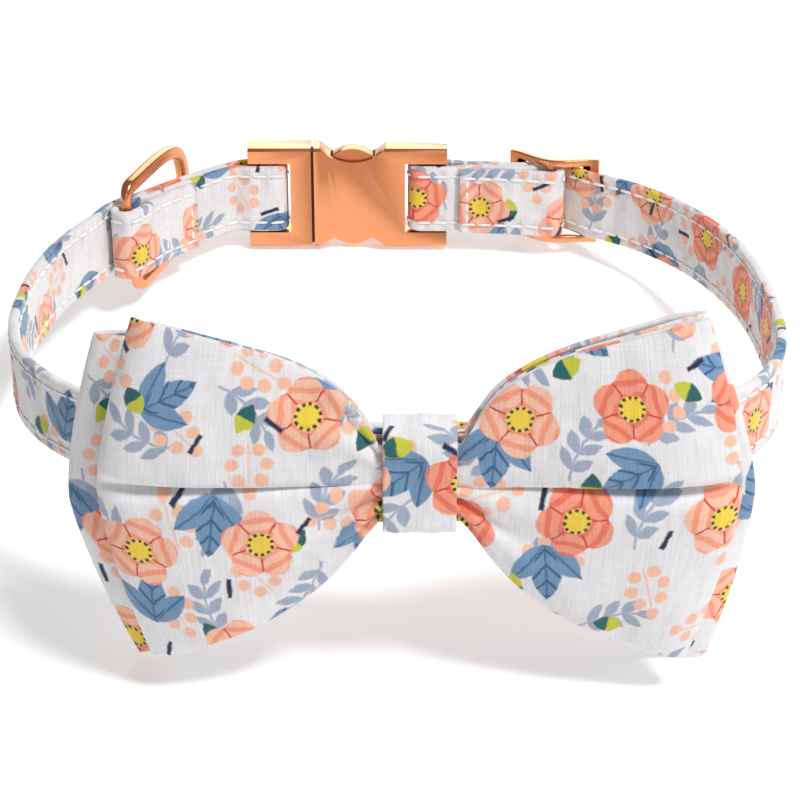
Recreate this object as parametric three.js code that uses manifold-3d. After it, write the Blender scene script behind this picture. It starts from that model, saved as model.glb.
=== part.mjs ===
// Pet collar with a double bow tie: a fabric-covered webbing strap, a side-release metal buckle,
// a D-ring, a slider, and two cotton bows held together by a knot band and hung on an elastic loop.
// Millimetres. In the collar's own frame x runs to the right, y to the back (the buckle), z up,
// and the strap's middle height is z = 0. The whole collar then leans as it rests on a table.
import * as THREE from 'three';
import { mergeVertices } from 'three/addons/utils/BufferGeometryUtils.js';
import Module from 'manifold-3d';

const wasm = await Module();
wasm.setup();

// Strap
const strapHeight = 15;
const strapThick = 1.8;
const layerGap = 0.4;
const strapStep = 3.2;
const foldSteps = 7;

// Neck loop, seen from above
const loopHalfWidth = 70.9;
const loopBack = 74.4;
const loopFront = 50.5;
const frontFlatHalf = 6;
const buckleX = -11;
const straightPastBuckle = 3.2;
// How square each quarter of the loop is, across and deep: 2 is an ellipse, 1 a straight line.
const squareness = {
  backRight: { across: 2.3, deep: 2.3 },
  frontRight: { across: 2.8, deep: 2.8 },
  frontLeft: { across: 2.37, deep: 2.37 },
  backLeft: { across: 1, deep: 2.5 },
};
const bendEase = 2;

// Clearance between pieces that touch or pass
const fit = 0.3;

// Buckle
const buckleHalfLength = 21.75;
const buckleHalfHeight = 11.4;
const buckleInner = 2.2;
const buckleOuterMiddle = 3.8;
const buckleOuterEnd = 1.6;
const seamX = -7.7;
const seamGap = 0.6;
const webBarWide = 6.5;
const webBarThick = 2;
const webBarInto = 0.5;
const slotRoom = 0.5;
const layersMeet = 5;
const femaleSlot = 2.7;
const maleSlot = 2.7;
const buckleEdge = 0.6;
const notchX = 1.1;
const notchHalfWidth = 7.2;
const notchDepth = 3.05;
const socketWall = 1.8;
const socketHalfHeight = buckleHalfHeight - socketWall;
const socketDeep = 9;
const prongThick = 3.4;
const prongFace = 1;
const prongInset = 1.6;
const prongWide = 2;
const tongueHalfHeight = 2;
const tabHalfWidth = 6;
const tabUnderTop = 0.3;
const tabRise = buckleHalfHeight - tabUnderTop;

// Slider
const sliderAt = 45;
const sliderLength = 20;
const sliderThick = 1.4;
const sliderRail = 1.6;
const sliderEndBar = 1.9;
const sliderMiddleBar = 1.8;
const sliderEndOut = (strapThick + sliderThick) / 2 + fit;
const sliderMiddleOut = -1.6;
const sliderTail = 20.5;

// D-ring
const ringAt = 59;
const ringSlack = 1.2;
const ringBarRadius = 1.1;
const ringHalfHeight = 11.3;
const ringDepth = 26;
const ringSquareness = 4.8;
const ringBandWide = 2.4;
const ringBandThick = 2.8;
const ringLean = 12;
const ringTilt = 6;
const ringLift = 1.2;
const ringTail = 19;
const ringRise = 11;
const ringFall = 9;

// Knot and elastic loop. A corner's radius is to the middle of the cloth.
const knotHalfWidth = 6;
const knotHalfHeight = 9.5;
const knotLift = 2;
const knotThick = 1;
const knotCorner = 2.2;
const knotBarrel = 0.02;
const elasticHalfWidth = 4;
const elasticThick = 0.7;
const elasticCorner = 0.9;

// Bows, seen from the front
const bowX = 4.2;
const clothThick = 1;
const bowHalfHeight = 31;
const frontBowReach = 52.5;
const rearBowReach = 57.5;
const rearBowDrop = 5;
const frontBowPuff = 3.2;
const backLayerPuff = 1.2;
const rearBowPuff = 2.4;
const rearSweep = 5;
// The rear bow hangs askew: to the left at its middle and more so at its top, whose right end rises.
const rearSkew = { aside: 1.3, across: 2, rise: 2 };
const pinchRoom = 0.75;
const pinchHalfHeight = knotHalfHeight - knotThick - 2 * pinchRoom;
const gatherDepth = 0.4;
const gatherReach = 0.3;
const creaseWide = 0.16;
const edgeFall = 0.35;
// Along a wing the puff rises and falls again with these exponents; top is its highest value.
const bulge = { rise: 0.9, fall: 4, top: 0.636 };
const outerFold = 8;
const cornerCurve = 1.4;

// Colours
const finish = {
  printedCotton: { color: 0xefe6e0, roughness: 0.9, metalness: 0 },
  roseGold: { color: 0xd07a45, roughness: 0.28, metalness: 1 },
  whiteElastic: { color: 0xf2f0ec, roughness: 0.85, metalness: 0 },
};

// Outline of a bow's wing from the pinched middle to the outer fold: reach is a share of the
// wing's reach, top and bottom are shares of the bow's half height.
const wingOutline = [
  { reach: 0.13, top: 0.0, bottom: 0.0 },
  { reach: 0.17, top: 0.17, bottom: 0.1 },
  { reach: 0.22, top: 0.36, bottom: 0.25 },
  { reach: 0.31, top: 0.54, bottom: 0.46 },
  { reach: 0.43, top: 0.69, bottom: 0.65 },
  { reach: 0.56, top: 0.79, bottom: 0.8 },
  { reach: 0.7, top: 0.87, bottom: 0.9 },
  { reach: 0.87, top: 0.96, bottom: 1.0 },
  { reach: 1.0, top: 1.0, bottom: 1.04 },
];
const cornerPull = 0.14;
const wingColumns = 12;
const wingRows = 10;

// Small helpers
const smooth = (t) => {
  const s = Math.min(Math.max(t, 0), 1);
  return s * s * (3 - 2 * s);
};
const power = (value, exponent) => Math.sign(value) * Math.abs(value) ** exponent;

// Reads a column of a table whose first column is key, easing between the rows.
function read(table, key, column, value) {
  let i = 0;
  while (i < table.length - 2 && value > table[i + 1][key]) i += 1;
  const [a, b] = [table[i], table[i + 1]];
  const share = smooth((value - a[key]) / (b[key] - a[key]));
  return a[column] + share * (b[column] - a[column]);
}

function closed(geometry) {
  const bare = geometry.clone();
  bare.deleteAttribute('normal');
  bare.deleteAttribute('uv');
  return mergeVertices(bare, 1e-4);
}

function toSolid(geometry) {
  const merged = closed(geometry);
  return new wasm.Manifold(new wasm.Mesh({
    numProp: 3,
    vertProperties: new Float32Array(merged.attributes.position.array),
    triVerts: new Uint32Array(merged.index.array),
  }));
}

function toGeometry(solid) {
  const mesh = solid.getMesh();
  const geometry = new THREE.BufferGeometry();
  geometry.setAttribute('position', new THREE.BufferAttribute(new Float32Array(mesh.vertProperties), 3));
  geometry.setIndex(new THREE.BufferAttribute(new Uint32Array(mesh.triVerts), 1));
  geometry.computeVertexNormals();
  return geometry;
}

function named(name, geometry, material) {
  const mesh = new THREE.Mesh(geometry, new THREE.MeshStandardMaterial(material));
  mesh.name = name;
  return mesh;
}

// A block given by its lowest and highest corners.
function block(low, high) {
  const size = high.map((value, i) => value - low[i]);
  const geometry = new THREE.BoxGeometry(...size);
  geometry.translate(...low.map((value, i) => value + size[i] / 2));
  return toSolid(geometry);
}

// An outline drawn in x and z, carried along y from one depth to another.
function plate(shape, from, to, segments = 12) {
  const geometry = new THREE.ExtrudeGeometry(shape, {
    depth: to - from, bevelEnabled: false, curveSegments: segments,
  });
  geometry.rotateX(Math.PI / 2);
  geometry.translate(0, to, 0);
  return toSolid(geometry);
}

// An outline drawn in x and y, carried along z to both sides of the middle.
function column(points, halfHeight) {
  const shape = new THREE.Shape(points.map(([x, y]) => new THREE.Vector2(x, y)));
  const geometry = new THREE.ExtrudeGeometry(shape, { depth: 2 * halfHeight, bevelEnabled: false });
  geometry.translate(0, 0, -halfHeight);
  return geometry;
}

// The outline of a strip of even thickness whose middle follows a path.
function strip(path, thickness) {
  const sides = [[], []];
  path.forEach((point, i) => {
    const before = path[Math.max(i - 1, 0)];
    const after = path[Math.min(i + 1, path.length - 1)];
    const along = new THREE.Vector2(after[0] - before[0], after[1] - before[1]).normalize();
    sides[0].push([point[0] - along.y * thickness / 2, point[1] + along.x * thickness / 2]);
    sides[1].push([point[0] + along.y * thickness / 2, point[1] - along.x * thickness / 2]);
  });
  return [...sides[1], ...sides[0].reverse()];
}

// A sheet that closes on itself in one direction: middle(u, v) gives its middle surface, with u
// from 0 to 1 once round and v from -1 to 1 across. The sheet gets its thickness along the normals.
function sheetLoop(middle, thickness, columns, rows) {
  const surface = (u, v) => new THREE.Vector3(...middle(((u % 1) + 1) % 1, v));
  const positions = [[], []];
  const nudge = 1e-3;
  for (let i = 0; i < columns; i += 1) {
    for (let j = 0; j <= rows; j += 1) {
      const [u, v] = [i / columns, -1 + 2 * j / rows];
      const low = Math.max(v - nudge, -1);
      const high = Math.min(v + nudge, 1);
      const round = surface(u + nudge, v).sub(surface(u - nudge, v));
      const across = surface(u, high).sub(surface(u, low));
      const normal = round.cross(across).normalize();
      const point = surface(u, v);
      positions[0].push(point.clone().addScaledVector(normal, thickness / 2));
      positions[1].push(point.clone().addScaledVector(normal, -thickness / 2));
    }
  }
  const count = positions[0].length;
  const at = (side, i, j) => side * count + (i % columns) * (rows + 1) + j;
  const faces = [];
  const quad = (a, b, c, d) => faces.push(a, b, c, a, c, d);
  for (let i = 0; i < columns; i += 1) {
    for (let j = 0; j < rows; j += 1) {
      quad(at(0, i, j), at(0, i + 1, j), at(0, i + 1, j + 1), at(0, i, j + 1));
      quad(at(1, i, j), at(1, i, j + 1), at(1, i + 1, j + 1), at(1, i + 1, j));
    }
    quad(at(0, i, 0), at(1, i, 0), at(1, i + 1, 0), at(0, i + 1, 0));
    quad(at(0, i, rows), at(0, i + 1, rows), at(1, i + 1, rows), at(1, i, rows));
  }
  const geometry = new THREE.BufferGeometry();
  const flat = positions.flat().flatMap((p) => [p.x, p.y, p.z]);
  geometry.setAttribute('position', new THREE.Float32BufferAttribute(flat, 3));
  geometry.setIndex(faces);
  geometry.computeVertexNormals();
  return geometry;
}

// The strap's run round the neck, from the middle of the buckle to the right, front, left and
// back again. Each quarter is a superellipse between a straight stretch and the side.
function neckLine() {
  const straightHalf = buckleHalfLength + straightPastBuckle;
  const quarters = [
    { from: buckleX + straightHalf, deep: loopBack, side: 1, bend: squareness.backRight, outward: true },
    { from: frontFlatHalf, deep: -loopFront, side: 1, bend: squareness.frontRight, outward: false },
    { from: -frontFlatHalf, deep: -loopFront, side: -1, bend: squareness.frontLeft, outward: true },
    { from: buckleX - straightHalf, deep: loopBack, side: -1, bend: squareness.backLeft, outward: false },
  ];
  const steps = 160;
  const rough = [[buckleX, loopBack]];
  for (const { from, deep, side, bend, outward } of quarters) {
    for (let k = 0; k <= steps; k += 1) {
      const angle = (outward ? k : steps - k) / steps * Math.PI / 2;
      rough.push([
        from + (side * loopHalfWidth - from) * power(Math.sin(angle), 2 / bend.across),
        deep * power(Math.cos(angle), 2 / bend.deep),
      ]);
    }
  }
  rough.push([buckleX, loopBack]);
  let even = resample(rough);
  for (let pass = 0; pass < 2; pass += 1) even = eased(even);
  return even;
}

// The same line with a point at every millimetre or so.
function resample(points) {
  const lengths = [0];
  for (let i = 1; i < points.length; i += 1) {
    const step = Math.hypot(points[i][0] - points[i - 1][0], points[i][1] - points[i - 1][1]);
    lengths.push(lengths[i - 1] + step);
  }
  const total = lengths[lengths.length - 1];
  const count = Math.round(total);
  const out = [];
  let j = 0;
  for (let k = 0; k < count; k += 1) {
    const target = total * k / count;
    while (lengths[j + 1] < target) j += 1;
    const share = (target - lengths[j]) / (lengths[j + 1] - lengths[j]);
    out.push([0, 1].map((c) => points[j][c] + share * (points[j + 1][c] - points[j][c])));
  }
  return out;
}

// Each point becomes the mean of its neighbours within bendEase, which softens the bends.
function eased(points) {
  return points.map((_, i) => {
    const sum = [0, 0];
    for (let k = -bendEase; k <= bendEase; k += 1) {
      const p = points[(i + k + points.length) % points.length];
      sum[0] += p[0];
      sum[1] += p[1];
    }
    return sum.map((value) => value / (2 * bendEase + 1));
  });
}

const neck = neckLine();
const neckLength = neck.reduce((sum, p, i) => {
  const q = neck[(i + 1) % neck.length];
  return sum + Math.hypot(q[0] - p[0], q[1] - p[1]);
}, 0);

// The point at a distance along the neck line from the buckle's middle (less than zero is to the
// left of the buckle), a step outwards from it, and the directions along and outwards there.
function onNeck(distance, out = 0) {
  const place = ((distance / neckLength) % 1 + 1) % 1 * neck.length;
  const i = Math.floor(place) % neck.length;
  const point = (k) => neck[(k + neck.length) % neck.length];
  const share = place - Math.floor(place);
  const mix = (p, q) => new THREE.Vector2(p[0] + share * (q[0] - p[0]), p[1] + share * (q[1] - p[1]));
  const here = mix(point(i), point(i + 1));
  const along = mix(point(i + 2), point(i + 3)).sub(mix(point(i - 2), point(i - 1))).normalize();
  const outward = new THREE.Vector2(-along.y, along.x);
  return { place: here.addScaledVector(outward, out), along, outward };
}

// Layers of the strap beside the buckle. Distances are from the buckle's middle, out is the
// middle of the layer outwards from the neck line.
const pitch = strapThick + layerGap;
const webBarOut = -pitch / 2;
const webFold = webBarThick / 2 + fit + strapThick / 2;
const femaleFoldAt = buckleHalfLength - webBarWide + webBarThick / 2;
const pastBuckle = buckleHalfLength + layersMeet;
const sliderHalf = sliderLength / 2;
const sliderFold = Math.hypot(sliderThick, sliderMiddleBar) / 2 + fit / 2 + strapThick / 2;
const sliderEndAt = sliderAt - sliderHalf + sliderEndBar / 2;
const ringFold = ringBarRadius + fit + strapThick / 2;
const ringBarOut = ringLift - pitch - ringFold;
const nearRing = ringAt - ringRise;
const ringFoldAt = ringAt + ringSlack;

const rightLayers = {
  outer: [
    { at: femaleFoldAt, out: webBarOut + webFold },
    { at: buckleHalfLength, out: webBarOut + webFold },
    { at: pastBuckle, out: 0 },
    { at: sliderEndAt, out: 0 },
    { at: sliderAt, out: sliderMiddleOut + sliderFold + pitch },
    { at: sliderAt + sliderHalf, out: 0 },
    { at: neckLength / 2, out: 0 },
  ],
  middle: [
    { at: femaleFoldAt, out: webBarOut - webFold },
    { at: buckleHalfLength, out: webBarOut - webFold },
    { at: pastBuckle, out: -pitch },
    { at: sliderEndAt, out: -pitch },
    { at: sliderAt, out: sliderMiddleOut + sliderFold },
  ],
  tail: [
    { at: sliderAt - sliderTail, out: -2 * pitch },
    { at: sliderEndAt, out: -2 * pitch },
    { at: sliderAt, out: sliderMiddleOut - sliderFold },
  ],
};
const leftLayers = {
  outer: [
    { at: femaleFoldAt, out: webBarOut + webFold },
    { at: buckleHalfLength, out: webBarOut + webFold },
    { at: pastBuckle, out: 0 },
    { at: nearRing, out: 0 },
    { at: ringAt, out: ringLift },
    { at: ringFoldAt, out: ringLift },
    { at: ringAt + ringFall, out: 0 },
    { at: neckLength / 2, out: 0 },
  ],
  middle: [
    { at: femaleFoldAt, out: webBarOut - webFold },
    { at: buckleHalfLength, out: webBarOut - webFold },
    { at: pastBuckle, out: -pitch },
    { at: nearRing, out: -pitch },
    { at: ringAt, out: ringLift - pitch },
    { at: ringFoldAt, out: ringLift - pitch },
  ],
  tail: [
    { at: ringAt - ringTail, out: -2 * pitch },
    { at: nearRing, out: -2 * pitch },
    { at: ringAt, out: ringLift - pitch - 2 * ringFold },
    { at: ringFoldAt, out: ringLift - pitch - 2 * ringFold },
  ],
};

// Points of one layer between two distances from the buckle; side is 1 right and -1 left of it.
function layer(table, side, from, to) {
  const steps = Math.max(Math.ceil(Math.abs(to - from) / strapStep), 2);
  const points = [];
  for (let k = 0; k <= steps; k += 1) {
    const at = from + (to - from) * k / steps;
    points.push(onNeck(side * at, read(table, 'at', 'out', at)).place.toArray());
  }
  return points;
}

// The half circle of a fold round a bar, from one layer to the other. turn is 1 where the fold
// points along the neck line, and from is 1 where it starts on the outer layer.
function fold(distance, out, radius, turn, from) {
  const { place, along, outward } = onNeck(distance, out);
  const points = [];
  for (let k = 1; k < foldSteps; k += 1) {
    const angle = Math.PI * k / foldSteps;
    const point = place.clone();
    point.addScaledVector(along, turn * radius * Math.sin(angle));
    point.addScaledVector(outward, from * radius * Math.cos(angle));
    points.push(point.toArray());
  }
  return points;
}

function makeStrap() {
  const half = neckLength / 2;
  const path = [
    ...layer(rightLayers.tail, 1, sliderAt - sliderTail, sliderAt),
    ...fold(sliderAt, sliderMiddleOut, sliderFold, 1, -1),
    ...layer(rightLayers.middle, 1, sliderAt, femaleFoldAt),
    ...fold(femaleFoldAt, webBarOut, webFold, -1, -1),
    ...layer(rightLayers.outer, 1, femaleFoldAt, half),
    ...layer(leftLayers.outer, -1, half - strapStep, femaleFoldAt),
    ...fold(-femaleFoldAt, webBarOut, webFold, 1, 1),
    ...layer(leftLayers.middle, -1, femaleFoldAt, ringFoldAt),
    ...fold(-ringFoldAt, ringBarOut, ringFold, -1, 1),
    ...layer(leftLayers.tail, -1, ringFoldAt, ringAt - ringTail),
  ];
  return named('strap', column(strip(path, strapThick), strapHeight / 2), finish.printedCotton);
}

// The buckle's own frame: x from its middle to the right, y outwards from the middle of the bars
// that the strap goes round, z up. Its inner face is flat and its outer face falls to both ends.
const slotHalfHeight = strapHeight / 2 + slotRoom;

function buckleBody(from, to) {
  const reach = buckleHalfLength + Math.abs(seamX);
  const fall = buckleOuterMiddle - buckleOuterEnd;
  const rise = (x) => buckleOuterMiddle - fall * (Math.abs(x - seamX) / reach) ** 1.5;
  const steps = 8;
  const outer = [];
  for (let k = 0; k <= steps; k += 1) {
    const x = to + (from - to) * k / steps;
    outer.push([x, rise(x)]);
  }
  const top = buckleHalfHeight;
  const prism = toSolid(column([[from, -buckleInner], [to, -buckleInner], ...outer], top));
  // The long edges of the inner face are cut off at an angle.
  const cut = (side) => {
    const shape = [
      [-buckleInner - buckleEdge, top - 2 * buckleEdge],
      [-buckleInner - buckleEdge, top + buckleEdge],
      [-buckleInner + 2 * buckleEdge, top + buckleEdge],
    ];
    const geometry = new THREE.ExtrudeGeometry(
      new THREE.Shape(shape.map(([y, z]) => new THREE.Vector2(y, z))),
      { depth: 4 * buckleHalfLength, bevelEnabled: false },
    );
    geometry.applyMatrix4(new THREE.Matrix4().makeBasis(
      new THREE.Vector3(0, 1, 0), new THREE.Vector3(0, 0, 1), new THREE.Vector3(1, 0, 0),
    ));
    geometry.translate(-2 * buckleHalfLength, 0, 0);
    const solid = toSolid(geometry);
    return side > 0 ? solid : solid.mirror([0, 0, 1]);
  };
  return prism.subtract(cut(1)).subtract(cut(-1));
}

// Opens the end of a buckle half for the strap and sets in the bar that the strap goes round.
function openForStrap(body, end, slot) {
  const side = Math.sign(end);
  const barInner = end - side * webBarWide;
  const span = (a, b) => [Math.min(a, b), Math.max(a, b)];
  const [low, high] = span(barInner - side * slot, end + side);
  const opened = body.subtract(
    block([low, -2 * buckleInner, -slotHalfHeight], [high, 2 * buckleOuterMiddle, slotHalfHeight]),
  );
  const [barLow, barHigh] = span(barInner, end);
  const radius = webBarThick / 2;
  const outline = [];
  for (let k = 0; k <= 12; k += 1) {
    const angle = Math.PI / 2 + Math.PI * k / 12;
    outline.push([barLow + radius + radius * Math.cos(angle), radius * Math.sin(angle)]);
  }
  for (let k = 0; k <= 12; k += 1) {
    const angle = -Math.PI / 2 + Math.PI * k / 12;
    outline.push([barHigh - radius + radius * Math.cos(angle), radius * Math.sin(angle)]);
  }
  return opened.add(toSolid(column(outline, slotHalfHeight + webBarInto)));
}

function makeBuckle() {
  const right = buckleHalfLength;
  const left = -buckleHalfLength;
  const femaleFace = seamX + seamGap / 2;
  const maleFace = seamX - seamGap / 2;
  const notchRadius = (notchHalfWidth ** 2 + notchDepth ** 2) / (2 * notchDepth);
  const notchZ = buckleHalfHeight - notchDepth + notchRadius;
  const disc = new THREE.Shape().absarc(notchX, notchZ, notchRadius, 0, 2 * Math.PI);
  const notch = plate(disc, -2 * buckleInner, 2 * buckleOuterMiddle, 40);
  const socket = block(
    [femaleFace - 1, -prongFace - fit, -socketHalfHeight],
    [socketDeep, prongThick - prongFace + fit, socketHalfHeight],
  );
  const female = openForStrap(buckleBody(femaleFace, right), right, femaleSlot)
    .subtract(notch).subtract(notch.mirror([0, 0, 1])).subtract(socket);

  // A prong runs into the socket and swells into the tab that is pressed in the notch.
  const topZ = socketHalfHeight - prongInset;
  const rootZ = topZ - prongWide;
  const prongShape = new THREE.Shape();
  prongShape.moveTo(maleFace - 1, rootZ);
  prongShape.lineTo(notchX + tabHalfWidth, rootZ + 1);
  prongShape.lineTo(notchX + tabHalfWidth, topZ);
  prongShape.quadraticCurveTo(notchX, 2 * tabRise - topZ, notchX - tabHalfWidth, topZ);
  prongShape.lineTo(maleFace - 1, topZ);
  prongShape.closePath();
  const prong = plate(prongShape, -prongFace, prongThick - prongFace);
  const tongue = block(
    [maleFace - 1, -prongFace, -tongueHalfHeight],
    [notchX + tabHalfWidth / 2, prongThick - prongFace, tongueHalfHeight],
  );
  const male = openForStrap(buckleBody(left, maleFace), left, maleSlot)
    .add(prong).add(prong.mirror([0, 0, 1])).add(tongue);

  const group = new THREE.Group();
  group.position.set(buckleX, loopBack + webBarOut, 0);
  group.add(named('buckle_female', toGeometry(female), finish.roseGold));
  group.add(named('buckle_male', toGeometry(male), finish.roseGold));
  return group;
}

// Turns a piece made in a frame of along, outwards and up into its place on the neck line.
function seatOnNeck(mesh, distance, out) {
  const { place, along } = onNeck(distance, out);
  mesh.position.set(place.x, place.y, 0);
  mesh.rotation.z = Math.atan2(along.y, along.x);
  return mesh;
}

// A bent plate with two slots: its end bars lie outside the strap and its middle bar inside it.
function makeSlider() {
  const path = [];
  const steps = 12;
  for (let k = 0; k <= steps; k += 1) {
    const share = -1 + 2 * k / steps;
    const out = sliderMiddleOut + (sliderEndOut - sliderMiddleOut) * smooth(Math.abs(share));
    path.push([share * sliderHalf, out]);
  }
  const halfHeight = slotHalfHeight + sliderRail;
  let body = toSolid(column(strip(path, sliderThick), halfHeight));
  for (const side of [-1, 1]) {
    const edges = [side * sliderMiddleBar / 2, side * (sliderHalf - sliderEndBar)].sort((a, b) => a - b);
    body = body.subtract(block(
      [edges[0], -sliderLength, -slotHalfHeight], [edges[1], sliderLength, slotHalfHeight],
    ));
  }
  return seatOnNeck(named('slider', toGeometry(body), finish.roseGold), sliderAt, 0);
}

// The ring in its own frame: the bar stands along z and the arc reaches along x.
function makeRing() {
  const steps = 26;
  const section = [
    [0.5, 1], [1, 0.45], [1, -0.45], [0.5, -1], [-0.5, -1], [-1, -0.45], [-1, 0.45], [-0.5, 1],
  ];
  const place = (k) => {
    const angle = Math.PI * k / steps;
    return new THREE.Vector3(
      ringDepth * power(Math.sin(angle), 2 / ringSquareness), 0,
      ringHalfHeight * power(Math.cos(angle), 2 / ringSquareness),
    );
  };
  const positions = [];
  for (let k = 0; k <= steps; k += 1) {
    const point = place(k);
    const along = place(Math.min(k + 1, steps)).sub(place(Math.max(k - 1, 0))).normalize();
    const inPlane = new THREE.Vector3(0, 1, 0).cross(along).normalize();
    for (const [a, b] of section) {
      const corner = point.clone().addScaledVector(inPlane, a * ringBandThick / 2);
      corner.y += b * ringBandWide / 2;
      positions.push(corner.x, corner.y, corner.z);
    }
  }
  const sides = section.length;
  const faces = [];
  for (let k = 0; k < steps; k += 1) {
    for (let s = 0; s < sides; s += 1) {
      const [a, b] = [k * sides + s, k * sides + (s + 1) % sides];
      faces.push(a, b + sides, b, a, a + sides, b + sides);
    }
  }
  for (let s = 1; s < sides - 1; s += 1) {
    faces.push(0, s, s + 1);
    faces.push(steps * sides, steps * sides + s + 1, steps * sides + s);
  }
  const arc = new wasm.Manifold(new wasm.Mesh({
    numProp: 3, vertProperties: new Float32Array(positions), triVerts: new Uint32Array(faces),
  }));
  const barLength = 2 * ringHalfHeight + ringBandThick;
  const bar = new THREE.CylinderGeometry(ringBarRadius, ringBarRadius, barLength, 14);
  bar.rotateX(Math.PI / 2);

  const mesh = named('d_ring', toGeometry(arc.add(toSolid(bar))), finish.roseGold);
  const swing = new THREE.Group();
  swing.rotation.z = THREE.MathUtils.degToRad(ringLean);
  swing.add(mesh);
  const tilt = new THREE.Group();
  tilt.rotation.y = -THREE.MathUtils.degToRad(ringTilt);
  tilt.add(swing);
  const seat = new THREE.Group();
  seat.add(tilt);
  return seatOnNeck(seat, -ringAt, ringBarOut);
}

// A bow is one loop of cloth, flattened and pinched in the middle, open at the top and bottom.
// u runs over the front of the right wing, its back, the back of the left wing and its front.
function bowSurface({ reach, middleY, frontPuff, backPuff, drop, sweep, crease, skew }) {
  const bulgeOf = (share) => share ** bulge.rise
    * Math.sqrt(Math.max(1 - share ** bulge.fall, 0)) / bulge.top;
  return (u, v) => {
    const quarter = Math.min(Math.floor(u * 4), 3);
    const within = u * 4 - quarter;
    const outwards = quarter === 0 || quarter === 2;
    const side = quarter < 2 ? 1 : -1;
    const isFront = quarter === 0 || quarter === 3;
    const share = Math.sin((outwards ? within : 1 - within) * Math.PI / 2);
    const x = side * reach * share * (1 - cornerPull * share * share * Math.abs(v) ** cornerCurve)
      - (skew.aside + skew.across * v) * smooth(share);
    const edge = v > 0 ? 'top' : 'bottom';
    const spread = read(wingOutline, 'reach', edge, Math.max(share, wingOutline[0].reach));
    const pinch = v * pinchHalfHeight + knotLift;
    const z = pinch + spread * (v * bowHalfHeight - pinch) - drop * spread * share
      + skew.rise * side * share * (1 + v) / 2;
    const layerHalf = (clothThick + layerGap) / 2 * Math.sqrt(Math.max(1 - share ** outerFold, 0));
    const ridge = 1 - crease * Math.exp(-((v / creaseWide) ** 2)) - edgeFall * Math.abs(v) ** 3;
    const puff = isFront ? frontPuff * ridge : backPuff;
    const depth = layerHalf + puff * bulgeOf(share);
    const gather = gatherDepth * Math.cos(3 * Math.PI * v) * Math.exp(-((share / gatherReach) ** 2));
    const y = middleY + sweep * smooth(share / 0.9) + (isFront ? -depth : depth) + gather;
    return [bowX + x, y, z];
  };
}

// Depths in front of the strap, from the strap outwards to the knot.
const strapFace = loopFront + strapThick / 2;
const knotBack = strapFace + fit + elasticThick + fit;
const bowHalfDepth = clothThick + layerGap / 2 + gatherDepth;
const rearBowY = -(knotBack + knotThick + pinchRoom + bowHalfDepth);
const frontBowY = rearBowY - 2 * bowHalfDepth - pinchRoom;
const knotFront = -frontBowY + bowHalfDepth + pinchRoom + knotThick;

// A flat band round something upright: a rectangle with round corners in y and z, carried along
// x. Each corner and each side takes an eighth of the way round.
function bandSurface({ x, y, z, halfWidth, halfDepth, halfHeight, corner, barrel }) {
  const centres = [[1, 1], [-1, 1], [-1, -1], [1, -1]]
    .map(([a, b]) => new THREE.Vector2(a * (halfDepth - corner), b * (halfHeight - corner)));
  return (u, v) => {
    const eighth = Math.min(Math.floor(u * 8), 7);
    const within = u * 8 - eighth;
    const k = Math.floor(eighth / 2);
    const onSide = eighth % 2;
    const angle = (k + (onSide ? 1 : within)) * Math.PI / 2;
    const point = centres[k].clone().lerp(centres[(k + 1) % 4], onSide ? within : 0);
    point.x += corner * Math.cos(angle);
    point.y += corner * Math.sin(angle);
    point.multiplyScalar(1 - barrel * v * v);
    return [x + v * halfWidth, y + point.x, z + point.y];
  };
}

function makeBows() {
  const rear = bowSurface({
    reach: rearBowReach, middleY: rearBowY, frontPuff: rearBowPuff, backPuff: backLayerPuff,
    drop: rearBowDrop, sweep: rearSweep, crease: 0.2, skew: rearSkew,
  });
  const front = bowSurface({
    reach: frontBowReach, middleY: frontBowY, frontPuff: frontBowPuff, backPuff: backLayerPuff,
    drop: 0, sweep: 0, crease: 0.55, skew: { aside: 0, across: 0, rise: 0 },
  });
  const knot = bandSurface({
    x: bowX, y: -(knotBack + knotFront) / 2, z: knotLift, halfWidth: knotHalfWidth,
    halfDepth: (knotFront - knotBack - knotThick) / 2, halfHeight: knotHalfHeight - knotThick / 2,
    corner: knotCorner, barrel: knotBarrel,
  });
  const elastic = bandSurface({
    x: bowX, y: -loopFront, z: 0, halfWidth: elasticHalfWidth,
    halfDepth: strapThick / 2 + fit + elasticThick / 2,
    halfHeight: strapHeight / 2 + fit + elasticThick / 2, corner: elasticCorner, barrel: 0,
  });
  const columns = 4 * wingColumns;
  return [
    named('rear_bow', sheetLoop(rear, clothThick, columns, wingRows), finish.printedCotton),
    named('front_bow', sheetLoop(front, clothThick, columns, wingRows), finish.printedCotton),
    named('knot_band', sheetLoop(knot, knotThick, 32, 4), finish.printedCotton),
    named('bow_loop', sheetLoop(elastic, elasticThick, 32, 2), finish.whiteElastic),
  ];
}

const collar = new THREE.Group();
collar.add(makeStrap(), makeBuckle(), makeSlider(), makeRing(), ...makeBows());

// On a table the collar rests on the rear bow's lower corners and the buckle's lower edge.
function lean(group) {
  const points = [];
  group.updateMatrixWorld(true);
  group.traverse((child) => {
    if (!child.isMesh) return;
    const position = child.geometry.attributes.position;
    for (let i = 0; i < position.count; i += 1) {
      points.push(new THREE.Vector3().fromBufferAttribute(position, i).applyMatrix4(child.matrixWorld));
    }
  });
  const buckleFoot = new THREE.Vector2(loopBack, -buckleHalfHeight);
  const slopes = points.filter((p) => p.y < 0)
    .map((p) => (buckleFoot.y - p.z) / (buckleFoot.x - p.y));
  return Math.atan(Math.max(...slopes));
}

const product = new THREE.Group();
collar.rotation.x = -lean(collar);
product.add(collar);
product.updateMatrixWorld(true);
const box = new THREE.Box3().setFromObject(product, true);
collar.position.set(-(box.min.x + box.max.x) / 2, -(box.min.y + box.max.y) / 2, -box.min.z);

export default product;
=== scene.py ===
import bmesh
import bpy
import numpy as np
from mathutils import Matrix, Vector


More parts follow.
